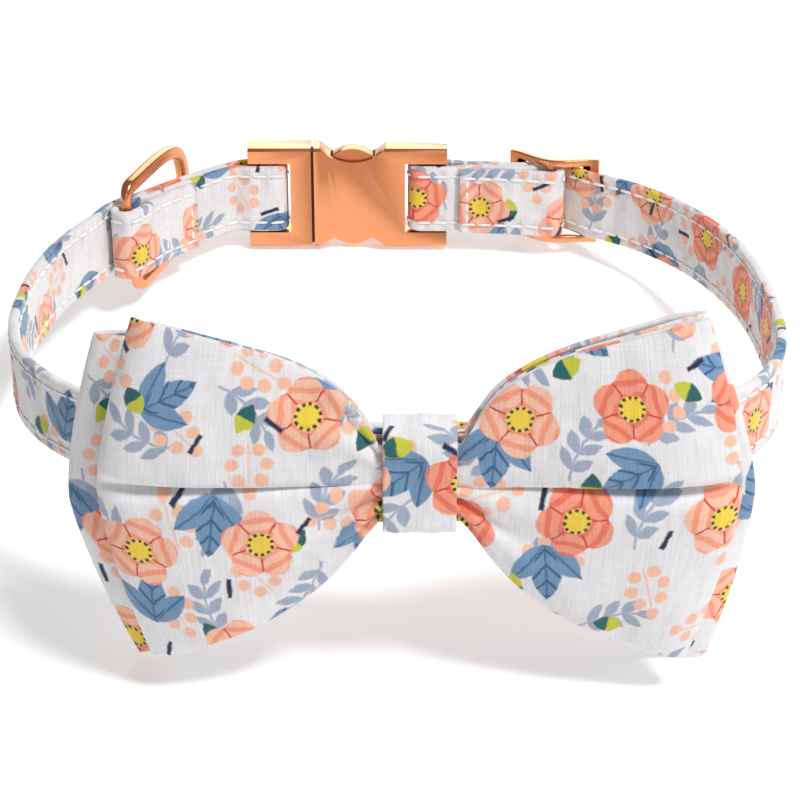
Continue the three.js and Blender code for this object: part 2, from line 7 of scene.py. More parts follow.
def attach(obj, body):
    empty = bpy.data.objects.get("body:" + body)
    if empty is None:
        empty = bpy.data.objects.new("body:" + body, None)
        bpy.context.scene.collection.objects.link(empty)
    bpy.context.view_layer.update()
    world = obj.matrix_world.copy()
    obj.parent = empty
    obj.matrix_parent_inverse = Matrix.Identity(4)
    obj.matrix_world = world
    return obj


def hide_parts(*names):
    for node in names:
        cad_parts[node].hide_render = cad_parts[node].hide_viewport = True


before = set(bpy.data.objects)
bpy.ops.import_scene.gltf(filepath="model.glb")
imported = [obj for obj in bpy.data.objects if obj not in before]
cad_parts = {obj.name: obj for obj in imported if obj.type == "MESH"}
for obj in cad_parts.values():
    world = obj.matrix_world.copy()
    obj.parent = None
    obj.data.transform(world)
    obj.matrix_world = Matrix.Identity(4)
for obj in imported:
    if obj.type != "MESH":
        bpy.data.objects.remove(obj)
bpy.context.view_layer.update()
mm = 0.001
uvUnit = 100  # millimetres of cloth in one unit of the cloth map
print("frame loaded:", ", ".join(sorted(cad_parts)))

# The collar leans on the table: collar points are turned about x, then moved, into the frame.
stance = {"lean": np.radians(11.750), "shift": np.array([-0.003, -4.913, 26.862])}
leanCos, leanSin = np.cos(stance["lean"]), np.sin(stance["lean"])
turnLean = np.array([[1, 0, 0], [0, leanCos, leanSin], [0, -leanSin, leanCos]])


def toFrame(points):  # collar millimetres to frame metres
    return (np.asarray(points, float) @ turnLean.T + stance["shift"]) * mm


def smooth(t):
    s = np.clip(t, 0, 1)
    return s * s * (3 - 2 * s)


def power(value, exponent):
    return np.sign(value) * np.abs(value) ** exponent


def unit(vectors):
    return vectors / np.linalg.norm(vectors, axis=-1, keepdims=True)


def runAlong(path):  # the distance from the path's start to each of its points
    return np.concatenate([[0], np.cumsum(np.linalg.norm(np.diff(path, axis=0), axis=1))])


def readTable(rows, value):  # rows of (place, amount), eased from one row to the next
    keys, amounts = np.array(rows, float).T
    i = np.clip(np.searchsorted(keys, value, side="left") - 1, 0, len(keys) - 2)
    share = smooth((value - keys[i]) / (keys[i + 1] - keys[i]))
    return amounts[i] + share * (amounts[i + 1] - amounts[i])


def readCurve(keys, amounts, value):
    # a smooth curve through the rows: a cubic between each two, with the slopes of their neighbours
    slopes = np.gradient(amounts, keys)
    i = np.clip(np.searchsorted(keys, value, side="left") - 1, 0, len(keys) - 2)
    wide = keys[i + 1] - keys[i]
    t = np.clip((value - keys[i]) / wide, 0, 1)
    low = amounts[i] * (1 + 2 * t) * (1 - t) ** 2 + slopes[i] * wide * t * (1 - t) ** 2
    return low + amounts[i + 1] * t * t * (3 - 2 * t) - slopes[i + 1] * wide * t * t * (1 - t)


def addPiece(name, data):
    piece = bpy.data.objects.new(name, data)
    bpy.context.scene.collection.objects.link(piece)
    return piece


def meshPiece(name, points, faces):
    mesh = bpy.data.meshes.new(name)
    mesh.from_pydata(toFrame(points.reshape(-1, 3)).tolist(), [], faces)
    return addPiece(name, mesh)


def cleanMesh(piece, merge=0, joinAngle=0, turnOut=True):
    # merges near points, joins faces that lie nearly flat together, and turns faces outwards
    shape = bmesh.new()
    shape.from_mesh(piece.data)
    if merge:
        bmesh.ops.remove_doubles(shape, verts=shape.verts, dist=merge)
    if joinAngle:
        bmesh.ops.dissolve_limit(shape, angle_limit=joinAngle, verts=shape.verts, edges=shape.edges)
    if turnOut:
        bmesh.ops.recalc_face_normals(shape, faces=shape.faces)
    shape.to_mesh(piece.data)
    shape.free()


def gridPiece(name, points, uv, closeColumns=False, closeRows=False, caps=False):
    # points[column, row] make quads; uv has a column or row more where that way is closed
    columns, rows = points.shape[:2]
    i, j = (a.ravel() for a in np.meshgrid(
        np.arange(columns - (not closeColumns)), np.arange(rows - (not closeRows)), indexing="ij"))
    corners = [(i, j), (i + 1, j), (i + 1, j + 1), (i, j + 1)]
    faces = np.stack([(a % columns) * rows + b % rows for a, b in corners], 1).tolist()
    uvs = np.stack([uv[a, b] for a, b in corners], 1).reshape(-1, 2)
    if caps:
        first, last = np.arange(rows), (columns - 1) * rows + np.arange(rows)
        faces += [first.tolist(), last[::-1].tolist()]
        uvs = np.concatenate([uvs, uv[0, first], uv[-1, first[::-1]]])
    piece = meshPiece(name, points, faces)
    layer = piece.data.uv_layers.new(name="cloth")
    layer.data.foreach_set("uv", (uvs / uvUnit).astype(np.float32).ravel())
    piece.data.shade_smooth()
    return piece


def addModifier(piece, kind, **settings):
    made = piece.modifiers.new(kind.lower(), kind)
    for key, value in settings.items():
        setattr(made, key, value)


def dress(piece, material, body="root", stands=()):
    piece.data.materials.clear()
    piece.data.materials.append(material)
    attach(piece, body)
    if stands:
        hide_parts(*stands)


# Shader sums
class Wire:  # a node's output that Python can do sums with
    def __init__(self, tree, socket):
        self.tree, self.socket = tree, socket

    def sums(self, operation, *values, clamp=False):
        settings = {"operation": operation, "use_clamp": clamp}
        return addNode(self.tree, "Math", settings, dict(enumerate(values)))

    def __add__(self, other): return self.sums("ADD", self, other)
    def __radd__(self, other): return self.sums("ADD", other, self)
    def __sub__(self, other): return self.sums("SUBTRACT", self, other)
    def __rsub__(self, other): return self.sums("SUBTRACT", other, self)
    def __mul__(self, other): return self.sums("MULTIPLY", self, other)
    def __rmul__(self, other): return self.sums("MULTIPLY", other, self)
    def __truediv__(self, other): return self.sums("DIVIDE", self, other)
    def __pow__(self, other): return self.sums("POWER", self, other)
    def __abs__(self): return self.sums("ABSOLUTE", self)
    def floor(self): return self.sums("FLOOR", self)
    def sine(self): return self.sums("SINE", self)
    def cosine(self): return self.sums("COSINE", self)
    def root(self): return self.sums("SQRT", self)
    def least(self, other): return self.sums("MINIMUM", self, other)
    def most(self, other): return self.sums("MAXIMUM", self, other)
    def above(self, level): return self.sums("GREATER_THAN", self, level)


def addNode(tree, kind, settings=None, inputs=None, out=0):
    made = tree.nodes.new("ShaderNode" + kind)
    for key, value in (settings or {}).items():
        setattr(made, key, value)
    for key, value in (inputs or {}).items():
        if isinstance(value, Wire):
            tree.links.new(value.socket, made.inputs[key])
        else:
            made.inputs[key].default_value = value
    return Wire(tree, made.outputs[out] if made.outputs else None)


def mixColour(tree, share, low, high):
    return addNode(tree, "Mix", {"data_type": "RGBA"}, {0: share, 6: low, 7: high}, 2)


def noise(tree, place, scale, detail, dimensions="3D"):
    return addNode(tree, "TexNoise", {"noise_dimensions": dimensions},
                   {"Vector": place, "Scale": scale, "Detail": detail})


def bump(tree, height, strength, distance, **below):
    return addNode(tree, "Bump", None,
                   {"Strength": strength, "Distance": distance, "Height": height, **below})


def objectPlace(tree):  # the Object coordinates
    return addNode(tree, "TexCoord", None, None, 3)


def inside(distance, soft=0.34):  # 1 inside a shape, 0 outside, from its signed distance in mm
    return distance.sums("MULTIPLY_ADD", distance, -1 / soft, 0.5, clamp=True)


def newMaterial(name):
    material = bpy.data.materials.new(name)
    material.use_nodes = True
    tree = material.node_tree
    tree.nodes.clear()
    return material, tree


def finishMaterial(tree, inputs):
    surface = addNode(tree, "BsdfPrincipled", None, inputs)
    addNode(tree, "OutputMaterial", None, {"Surface": surface})


# The flower print, worked out in millimetres of flat cloth
inks = {
    "cloth": (0.80, 0.785, 0.80, 1), "coral": (0.83, 0.19, 0.12, 1),
    "salmon": (0.90, 0.33, 0.22, 1), "peach": (0.91, 0.52, 0.38, 1),
    "deep": (0.60, 0.075, 0.06, 1), "yellow": (0.86, 0.62, 0.06, 1),
    "green": (0.56, 0.58, 0.05, 1), "teal": (0.02, 0.12, 0.13, 1),
    "blue": (0.17, 0.30, 0.47, 1), "paleBlue": (0.36, 0.41, 0.52, 1),
    "deepBlue": (0.05, 0.13, 0.26, 1), "navy": (0.017, 0.026, 0.075, 1),
}
# Each motif has one place in each cell of its own lattice, and the share "bare" of cells has none.
# A leaf is its start, angle, length and half width, and a stalk its half length and half width.
# The sprigs' pairs of leaves take their starts from pairsAt.
motifs = {
    "sprigs": {"cell": 17, "turn": 0.25, "seed": 3, "jitter": 3.0, "bare": 0.22, "bend": 0.035,
               "stalk": (6, 0.22), "pairsAt": (-4.2, -1.0, 2.2), "pair": (0.75, 4.4, 1.0),
               "tip": (4.6, 0.0, 4.0, 0.95)},
    "berries": {"cell": 16, "turn": -0.55, "seed": 8, "jitter": 3.0, "bare": 0.2,
                "stalk": (4.5, 0.14), "radius": 1.15,
                "at": ((-3.4, 1.7), (-0.7, 2.9), (2.2, 1.9), (4.9, 0.0))},
    "leaves": {"cell": 23, "turn": 0.9, "seed": 5, "jitter": 4.0, "bare": 0.12,
               "middle": (-4.5, 0.0, 11.0, 2.5), "pair": (-4.5, 0.72, 9.0, 2.1),
               "midVein": 0.16, "pairVein": 0.18, "ribs": (2.1, 2.3, 0.72)},
    "buds": {"cell": 21, "turn": -0.2, "seed": 11, "jitter": 5.0, "bare": 0.35,
             "bud": (-2.6, 0.0, 5.6, 1.7), "cupAt": 2.9},
    "blossoms": {"cell": 20.5, "turn": 0.12, "seed": 2, "jitter": 5.5, "bare": 0.16, "pale": 0.62,
                 "radius": 5.2, "lobe": 1.5, "gap": 0.42, "gapFrom": 2.6, "heart": 2.3,
                 "beads": 11, "beadsAt": 2.0, "beadHalf": 0.28},
    "dashes": {"cell": 10.5, "turn": 1.3, "seed": 7, "jitter": 3.5, "bare": 0.62,
               "stalk": (1.5, 0.42)},
}


def lattice(tree, u, v, motif):
    # staggered cells of the cloth, each with its own centre, angle and chance, as local x and y
    cell, jitter, seed = motif["cell"], motif["jitter"], motif["seed"]
    turnCos, turnSin = float(np.cos(motif["turn"])), float(np.sin(motif["turn"]))
    across = u * turnCos + v * turnSin + 7.3 * seed
    up = v * turnCos - u * turnSin + 4.1 * seed
    row = (up / cell).floor()
    shifted = across / cell + row * 0.5
    column = shifted.floor()
    place = addNode(tree, "CombineXYZ", None, {0: column, 1: row, 2: float(seed)})
    chance, colour = (addNode(tree, "TexWhiteNoise", {"noise_dimensions": "3D"},
                              {"Vector": place}, k) for k in range(2))
    a, b, c = (addNode(tree, "SeparateColor", None, {0: colour}, k) for k in range(3))
    x = (shifted - column - 0.5) * cell - (a - 0.5) * jitter
    y = (up / cell - row - 0.5) * cell - (b - 0.5) * jitter
    angle = c * (2 * np.pi)
    cosine, sine = angle.cosine(), angle.sine()
    return x * cosine + y * sine, y * cosine - x * sine, chance


def leafShape(x, y, start, angle, length, halfWidth):
    # a pointed leaf: its distance is the way off the middle line less a parabola's height
    cosine, sine = float(np.cos(angle)), float(np.sin(angle))
    along = (x - start) * cosine + y * sine
    side = y * cosine - (x - start) * sine
    q = along * (2 / length) - 1
    return abs(side) - (1 - q * q) * halfWidth, along, side


def stalkShape(x, y, halfLength, halfWidth):
    return abs(y).most(abs(x) - halfLength) - halfWidth


def printSprigs(tree, u, v, colour):  # pale sprigs on a bent stalk
    motif = motifs["sprigs"]
    x, y, chance = lattice(tree, u, v, motif)
    bent = y + x * x * motif["bend"]
    shape = stalkShape(x, bent, *motif["stalk"])
    for start in motif["pairsAt"]:
        shape = shape.least(leafShape(x, abs(bent), start, *motif["pair"])[0])
    shape = shape.least(leafShape(x, bent, *motif["tip"])[0])
    return mixColour(tree, inside(shape) * chance.above(motif["bare"]), colour, inks["paleBlue"])


def printBerries(tree, u, v, colour):  # berry sprays
    motif = motifs["berries"]
    x, y, chance = lattice(tree, u, v, motif)
    shape = stalkShape(x, y, *motif["stalk"])
    for a, b in motif["at"]:
        shape = shape.least(((x - a) ** 2 + (abs(y) - b) ** 2).root() - motif["radius"])
    return mixColour(tree, inside(shape) * chance.above(motif["bare"]), colour, inks["peach"])


def printLeaves(tree, u, v, colour):  # broad blue leaves in threes, with darker veins
    motif = motifs["leaves"]
    x, y, chance = lattice(tree, u, v, motif)
    middle, along, side = leafShape(x, y, *motif["middle"])
    pair, _, pairSide = leafShape(x, abs(y), *motif["pair"])
    leaves = inside(middle.least(pair)) * chance.above(motif["bare"])
    alongRate, sideRate, level = motif["ribs"]
    ribs = inside(level - (along * alongRate - abs(side) * sideRate).sine(), 0.3)
    veins = inside(abs(side) - motif["midVein"]).most(ribs)
    pairVeins = inside(abs(pairSide) - motif["pairVein"])
    colour = mixColour(tree, leaves, colour, inks["blue"])
    colour = mixColour(tree, leaves * inside(middle) * veins, colour, inks["deepBlue"])
    return mixColour(tree, leaves * (1 - inside(middle)) * pairVeins, colour, inks["deepBlue"])


def printBuds(tree, u, v, colour):  # green buds in dark cups
    motif = motifs["buds"]
    x, y, chance = lattice(tree, u, v, motif)
    bud, along, _ = leafShape(x, y, *motif["bud"])
    shown = chance.above(motif["bare"])
    colour = mixColour(tree, inside(bud) * shown, colour, inks["green"])
    return mixColour(tree, inside(bud.most(motif["cupAt"] - along)) * shown, colour, inks["teal"])


def printBlossoms(tree, u, v, colour):
    # open blossoms of five lobes, in two tones, with deep gaps, a yellow heart and a ring of beads
    motif = motifs["blossoms"]
    x, y, chance = lattice(tree, u, v, motif)
    radius = (x * x + y * y).root()
    angle = x.sums("ARCTAN2", y, x)
    lobe = abs((angle * 2.5).cosine())
    petals = inside(radius - (lobe * motif["lobe"] + motif["radius"])) * chance.above(motif["bare"])
    strokes = (radius * 2.6 + lobe * 2.4 + (angle * 3).sine() * 0.8).sine()
    darker = mixColour(tree, inside(0.25 - strokes, 0.5), inks["salmon"], inks["coral"])
    paler = mixColour(tree, inside(0.2 - strokes, 0.5), inks["peach"], inks["salmon"])
    petalColour = mixColour(tree, chance.above(motif["pale"]), darker, paler)
    gaps = inside((lobe * radius) - motif["gap"]).least(radius.above(motif["gapFrom"]))
    beads = inside(abs(radius - motif["beadsAt"]) - motif["beadHalf"])
    beads = petals * beads * (angle * motif["beads"]).sine().above(-0.1)
    colour = mixColour(tree, petals, colour, petalColour)
    colour = mixColour(tree, petals * gaps, colour, inks["deep"])
    colour = mixColour(tree, petals * inside(radius - motif["heart"]), colour, inks["yellow"])
    return mixColour(tree, beads, colour, inks["navy"])


def printDashes(tree, u, v, colour):  # short dark dashes
    motif = motifs["dashes"]
    x, y, chance = lattice(tree, u, v, motif)
    dash = inside(stalkShape(x, y, *motif["stalk"]))
    return mixColour(tree, dash * chance.above(motif["bare"]), colour, inks["navy"])


def printColour(tree, u, v):
    colour = inks["cloth"]
    for drawn in (printSprigs, printBerries, printLeaves, printBuds, printBlossoms, printDashes):
        colour = drawn(tree, u, v, colour)
    return colour


cotton = {"cloudScale": 0.09, "wanderScale": 0.7, "wander": 0.5, "crumpleScale": 0.16,
          "crumpleStretch": 0.6, "along": 0.14, "across": 2.4, "dent": 0.0009, "thread": 0.00012,
          "puckeredCrumple": 2.8, "pucker": 0.4}
# Millimetres round the strap's section: one face with its edge, the face's middle, the stitch rows
# on either side of it. Along the strap: the first stitch and the way from one to the next.
stitchRows = {"girth": 16.3, "middle": 7.05, "reach": 5.35, "first": 2, "pitch": 3.5}


def cottonMaterial(name, puckered=False):
    material, tree = newMaterial(name)
    place = addNode(tree, "UVMap", {"uv_map": "cloth"})
    u, v = (addNode(tree, "SeparateXYZ", None, {0: place}, k) * uvUnit for k in range(2))

    def flatNoise(across, up, scale, detail):  # noise on the cloth, stretched either way
        spot = addNode(tree, "CombineXYZ", None, {0: u * across, 1: v * up})
        return noise(tree, spot, scale, detail, "2D")

    cloud = flatNoise(1.0, 1.0, cotton["cloudScale"], 3.0)
    wander = flatNoise(1.0, 1.0, cotton["wanderScale"], 2.0)
    crumple = flatNoise(1.0, cotton["crumpleStretch"], cotton["crumpleScale"], 1.0)
    # uneven threads: noise drawn out along the warp and, fainter, along the weft
    warp = flatNoise(cotton["across"], cotton["along"], 1.0, 2.0)
    weft = flatNoise(cotton["along"], cotton["across"], 1.0, 2.0)
    colour = printColour(tree, u + wander * cotton["wander"], v - wander * cotton["wander"])
    shade = (warp * 0.22 + weft * 0.08 + cloud * 0.2 + wander * 0.06 + 0.66).least(1.0)
    colour = addNode(tree, "VectorMath", {"operation": "SCALE"}, {0: colour, "Scale": shade})
    if puckered:
        # the stitched rows lie at the same heights on both faces; each stitch draws the cloth in
        level = v - (v / stitchRows["girth"]).floor() * stitchRows["girth"]
        nearRow = inside(abs(abs(level - stitchRows["middle"]) - stitchRows["reach"]) - 1.0, 1.8)
        wave = ((u - stitchRows["first"]) * (2 * np.pi / stitchRows["pitch"])).cosine()
        crumple = crumple * cotton["puckeredCrumple"] - wave * nearRow * cotton["pucker"]
    dents = bump(tree, crumple, 0.7, cotton["dent"])
    threads = bump(tree, warp + weft, 0.5, cotton["thread"], Normal=dents)
    finishMaterial(tree, {
        "Base Color": colour, "Roughness": 0.82 + weft * 0.1, "Normal": threads,
        "Sheen Weight": 0.25, "Sheen Roughness": 0.5, "Specular IOR Level": 0.3})
    return material


platedMetal = {"dark": (0.76, 0.29, 0.125, 1), "light": (0.82, 0.35, 0.17, 1),
               "grainScale": (2600, 2600, 2600), "cloudScale": 90.0, "roughness": 0.19}


def roseGoldMaterial():
    material, tree = newMaterial("rose gold")
    place = objectPlace(tree)
    scaled = addNode(tree, "Mapping", None, {"Vector": place, "Scale": platedMetal["grainScale"]})
    grain = noise(tree, scaled, 1.0, 3.0)
    cloud = noise(tree, place, platedMetal["cloudScale"], 4.0)
    finishMaterial(tree, {
        "Base Color": mixColour(tree, cloud, platedMetal["dark"], platedMetal["light"]),
        "Metallic": 1.0, "Roughness": platedMetal["roughness"] + grain * 0.04 + cloud * 0.08,
        "Normal": bump(tree, grain, 0.04, 0.00001)})
    return material


def threadMaterial(name, colour, ribs):  # twisted or ribbed yarn, with painted shade darkening it between its turns
    material, tree = newMaterial(name)
    place = objectPlace(tree)
    across, up = (addNode(tree, "SeparateXYZ", None, {0: place}, k) for k in (0, 2))
    twist = ((across + up) * ribs).sine()
    fuzz = noise(tree, place, 2500.0, 2.0)
    # painted shade: the colour falls towards darker in the grooves between the turns; the fuzz adds
    # random tone
    darker = tuple(0.86 * c for c in colour)
    finishMaterial(tree, {
        "Base Color": mixColour(tree, twist * 0.2 + fuzz * 0.5, darker + (1,), colour + (1,)),
        "Roughness": 0.75 + fuzz * 0.1, "Normal": bump(tree, twist + fuzz, 0.5, 0.00005),
        "Sheen Weight": 0.2})
    return material


bowCotton = cottonMaterial("printed bow cotton")
strapCotton = cottonMaterial("printed strap cotton", puckered=True)
roseGold = roseGoldMaterial()
whiteThread = threadMaterial("white thread", (0.97, 0.96, 0.95), 9000.0)
# painted shade: a near-black colour for the core in the seam between the buckle's halves
seamShade, seamShadeTree = newMaterial("painted seam shade")
finishMaterial(seamShadeTree, {"Base Color": (0.11, 0.02, 0.015, 1), "Roughness": 0.7})
whiteElastic = threadMaterial("white elastic", (0.88, 0.87, 0.85), 5000.0)
print("materials made")

# The strap's run round the neck, in millimetres from the loop's middle
loop = {
    "halfWidth": 70.9, "back": 74.4, "front": 50.5, "flatHalf": 6, "buckleX": -11,
    "pastBuckle": 3.2, "backRight": (2.3, 2.3), "frontRight": (2.8, 2.8),
    "frontLeft": (2.37, 2.37), "backLeft": (1, 2.5), "quarterPoints": 161, "ease": 2,
    "easePasses": 2,
}
strap = {"height": 15, "thick": 1.8, "gap": 0.4, "fit": 0.3, "step": 1.2, "corner": 0.45,
         "stitchIn": 2.15, "pressed": 0.14, "pressedWide": 0.5}
buckle = {"halfLength": 21.75, "bar": 6.5, "barThick": 2, "meet": 5}
slider = {"at": 45, "half": 10, "thick": 1.4, "endBar": 1.9, "middleBar": 1.8,
          "middleOut": -1.6, "tail": 20.5}
ring = {"at": 59, "slack": 1.2, "bar": 1.1, "halfHeight": 11.3, "depth": 26, "square": 4.8,
        "wide": 2.4, "thick": 2.8, "lean": 12, "tilt": 6, "lift": 1.2, "tail": 19, "rise": 11,
        "fall": 9, "bend": 2.6}


def neckLine():
    # Each quarter is a superellipse from a straight stretch to the side: the way across is a power
    # of the sine, the way out a power of the cosine. It is then spaced by about 1 mm and eased.
    straight = buckle["halfLength"] + loop["pastBuckle"]
    quarters = [  # where the curve starts, its depth, side and powers, and if it runs outwards
        (loop["buckleX"] + straight, loop["back"], 1, loop["backRight"], True),
        (loop["flatHalf"], -loop["front"], 1, loop["frontRight"], False),
        (-loop["flatHalf"], -loop["front"], -1, loop["frontLeft"], True),
        (loop["buckleX"] - straight, loop["back"], -1, loop["backLeft"], False),
    ]
    angles = np.linspace(0, np.pi / 2, loop["quarterPoints"])
    rough = [np.array([[loop["buckleX"], loop["back"]]])]
    for start, deep, side, (across, square), outward in quarters:
        angle = angles if outward else angles[::-1]
        rough.append(np.stack([
            start + (side * loop["halfWidth"] - start) * power(np.sin(angle), 2 / across),
            deep * power(np.clip(np.cos(angle), 0, 1), 2 / square)], 1))
    rough = np.concatenate(rough + [rough[0]])
    lengths = runAlong(rough)
    count = int(np.floor(lengths[-1] + 0.5))
    target = lengths[-1] * np.arange(count) / count
    even = np.stack([np.interp(target, lengths, rough[:, k]) for k in range(2)], 1)
    reach = range(-loop["ease"], loop["ease"] + 1)
    for _ in range(loop["easePasses"]):
        even = sum(np.roll(even, k, 0) for k in reach) / len(reach)
    return even


neck = neckLine()
neckLength = np.linalg.norm(np.roll(neck, -1, 0) - neck, axis=1).sum()


def onNeck(distance, out):
    # the place at a distance from the buckle's middle, moved outwards, with both directions
    place = (np.asarray(distance, float) / neckLength % 1) * len(neck)
    i = np.floor(place).astype(int)
    share = (place - i)[..., None]

    def between(k):
        return neck[(i + k) % len(neck)] * (1 - share) + neck[(i + k + 1) % len(neck)] * share

    along = unit(between(2) - between(-2))
    outward = np.stack([-along[..., 1], along[..., 0]], -1)
    return between(0) + outward * np.asarray(out, float)[..., None], along, outward


# The strap's layers: rows of the distance from the buckle's middle and the way out from the neck
# line. Each layer folds round a bar into the next one.
pitch = strap["thick"] + strap["gap"]
webFold = buckle["barThick"] / 2 + strap["fit"] + strap["thick"] / 2
webAt = buckle["halfLength"] - buckle["bar"] + buckle["barThick"] / 2
webOut = -pitch / 2
webOuter, webInner = webOut + webFold, webOut - webFold
pastBuckle = buckle["halfLength"] + buckle["meet"]
sliderFold = (np.hypot(slider["thick"], slider["middleBar"]) + strap["fit"] + strap["thick"]) / 2
sliderNear = slider["at"] - slider["half"] + slider["endBar"] / 2
sliderOut = slider["middleOut"]
ringFold = ring["bar"] + strap["fit"] + strap["thick"] / 2
ringLift, ringInner = ring["lift"], ring["lift"] - pitch
ringOut = ringInner - ringFold
ringNear, ringAt = ring["at"] - ring["rise"], ring["at"] + ring["slack"]
half = neckLength / 2
layers = {
    "rightOuter": [(webAt, webOuter), (buckle["halfLength"], webOuter), (pastBuckle, 0),
                   (sliderNear, 0), (slider["at"], sliderOut + sliderFold + pitch),
                   (slider["at"] + slider["half"], 0), (half, 0)],
    "rightMiddle": [(webAt, webInner), (buckle["halfLength"], webInner), (pastBuckle, -pitch),
                    (sliderNear, -pitch), (slider["at"], sliderOut + sliderFold)],
    "rightTail": [(slider["at"] - slider["tail"], -2 * pitch), (sliderNear, -2 * pitch),
                  (slider["at"], sliderOut - sliderFold)],
    "leftOuter": [(webAt, webOuter), (buckle["halfLength"], webOuter), (pastBuckle, 0),
                  (ringNear, 0), (ring["at"], ringLift), (ringAt, ringLift),
                  (ring["at"] + ring["fall"], 0), (half, 0)],
    "leftMiddle": [(webAt, webInner), (buckle["halfLength"], webInner), (pastBuckle, -pitch),
                   (ringNear, -pitch), (ring["at"], ringInner), (ringAt, ringInner)],
    "leftTail": [(ring["at"] - ring["tail"], -2 * pitch), (ringNear, -2 * pitch),
                 (ring["at"], ringInner - 2 * ringFold), (ringAt, ringInner - 2 * ringFold)],
}


def layerPath(name, side, start, end):
    count = max(int(np.ceil(abs(end - start) / strap["step"])), 2)
    at = np.linspace(start, end, count + 1)
    return onNeck(side * at, readTable(layers[name], at))[0]


def foldPath(distance, out, radius, turn, start):  # the half circle of a fold round a bar
    place, along, outward = onNeck(distance, out)
    angle = (np.pi * np.arange(1, 12) / 12)[:, None]
    return place + along * turn * radius * np.sin(angle) + outward * start * radius * np.cos(angle)


strapPath = np.concatenate([
    layerPath("rightTail", 1, slider["at"] - slider["tail"], slider["at"]),
    foldPath(slider["at"], sliderOut, sliderFold, 1, -1),
    layerPath("rightMiddle", 1, slider["at"], webAt),
    foldPath(webAt, webOut, webFold, -1, -1),
    layerPath("rightOuter", 1, webAt, half),
    layerPath("leftOuter", -1, half - strap["step"], webAt),
    foldPath(-webAt, webOut, webFold, 1, 1),
    layerPath("leftMiddle", -1, webAt, ringAt),
    foldPath(-ringAt, ringOut, ringFold, -1, 1),
    layerPath("leftTail", -1, ringAt, ring["at"] - ring["tail"]),
])
strapAlong = unit(np.gradient(strapPath, axis=0))
strapLeft = np.stack([-strapAlong[:, 1], strapAlong[:, 0]], 1)
strapRun = runAlong(strapPath)
rowUp = strap["height"] / 2 - strap["stitchIn"]  # the stitch rows' height off the strap's middle


def strapSection():
    # a rectangle with half-round edges, pressed in along both stitch rows by a bell curve
    halfThick, corner = strap["thick"] / 2, strap["corner"]
    faceUp = np.linspace(-1, 1, 27) * (strap["height"] / 2 - corner)
    pressed = np.exp(-((np.abs(faceUp) - rowUp) / strap["pressedWide"]) ** 2)
    faceOut = halfThick - strap["pressed"] * pressed
    edge = np.linspace(0, np.pi, 9)[1:-1]
    topOut, topUp = halfThick * np.cos(edge), strap["height"] / 2 - corner + corner * np.sin(edge)
    return (np.concatenate([faceOut, topOut, -faceOut, -topOut]),
            np.concatenate([faceUp, topUp, faceUp[::-1], -topUp]))


def makeStrap():  # the section carried along the strap's path
    out, up = strapSection()
    flat = strapPath[:, None, :] + strapLeft[:, None, :] * out[None, :, None]
    points = np.concatenate([flat, np.broadcast_to(up[None, :, None], flat.shape[:2] + (1,))], 2)
    rim = np.hypot(np.diff(np.append(out, out[0])), np.diff(np.append(up, up[0])))
    girth = np.concatenate([[0], np.cumsum(rim)])
    uv = np.stack(np.meshgrid(strapRun, girth, indexing="ij"), 2)
    piece = gridPiece("strap_cloth", points, uv, closeRows=True, caps=True)
    cleanMesh(piece)
    dress(piece, strapCotton, stands=["strap"])


stitch = {"long": 3.1, "crossLong": 1.9, "halfUp": 0.33, "halfOut": 0.3, "blunt": 0.7,
          "sunk": 0.08, "crossSunk": 0.02, "fromTail": 1.6, "besideRing": 9.5,
          "crossFirst": 1.5, "crossPitch": 2.6, "sides": 6, "rings": 6}


def stitchPiece(name, centre, along, up, outward, long):
    # Every stitch is one small spindle, half sunk in the cloth: its way along goes with the cosine,
    # and its roundness with a power of the sine.
    sides, rings = stitch["sides"], stitch["rings"]
    turn, rise = np.meshgrid(2 * np.pi * np.arange(sides) / sides, np.linspace(0, np.pi, rings),
                             indexing="ij")
    swell = np.sin(rise) ** stitch["blunt"]
    local = np.stack([-np.cos(rise) * long / 2, swell * np.cos(turn) * stitch["halfUp"],
                      swell * np.sin(turn) * stitch["halfOut"]], 2).reshape(-1, 3)
    axes = np.stack([along, up, outward], 1)
    points = centre[:, None, :] + np.einsum("pk,skc->spc", local, axes)
    i, j = (a.ravel() for a in np.meshgrid(np.arange(sides), np.arange(rings - 1), indexing="ij"))
    here, beside = i * rings + j, (i + 1) % sides * rings + j
    face = np.stack([here, beside, beside + 1, here + 1], 1)
    firsts = sides * rings * np.arange(len(centre))
    piece = meshPiece(name, points, (face[None] + firsts[:, None, None]).reshape(-1, 4).tolist())
    cleanMesh(piece, merge=1e-7)
    piece.data.shade_smooth()
    dress(piece, whiteThread)


